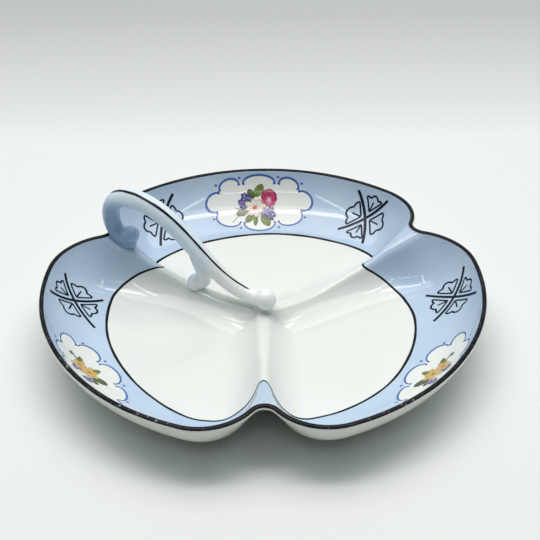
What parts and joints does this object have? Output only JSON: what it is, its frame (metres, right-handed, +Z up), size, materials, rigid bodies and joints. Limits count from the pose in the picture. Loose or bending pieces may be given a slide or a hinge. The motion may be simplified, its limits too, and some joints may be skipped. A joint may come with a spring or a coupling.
{
  "type": "divided candy dish",
  "caption": "Shallow glazed porcelain sweet dish of rounded lobes parted by low ridges, with a scrolled loop handle over one ridge for lifting and passing it.",
  "frame": {"origin": "on the table, under the middle of the rim's outer box; the dish's own axis is 2 mm in front of it", "axes": "+Z up; +Y towards the back lobe; +X to the right, seen from the front; the handle stands over the ridge at 150 degrees from +X"},
  "size_m": [0.1856, 0.1815, 0.0536],
  "materials": {
    "porcelain": "clear gloss glaze over white porcelain",
    "blue_glaze": "pale blue airbrushed ground under gloss glaze",
    "black_enamel": "glossy overglaze enamel, hand banded"
  },
  "bodies": {
    "root": {"dish_body": "porcelain", "handle": "blue_glaze", "handle_line": "black_enamel", "ball_slip_joint": "porcelain", "spur_slip_joint": "porcelain", "rim_slip_joint": "blue_glaze", "rim_line": "black_enamel", "inner_line": "black_enamel"}
  },
  "joints": []
}
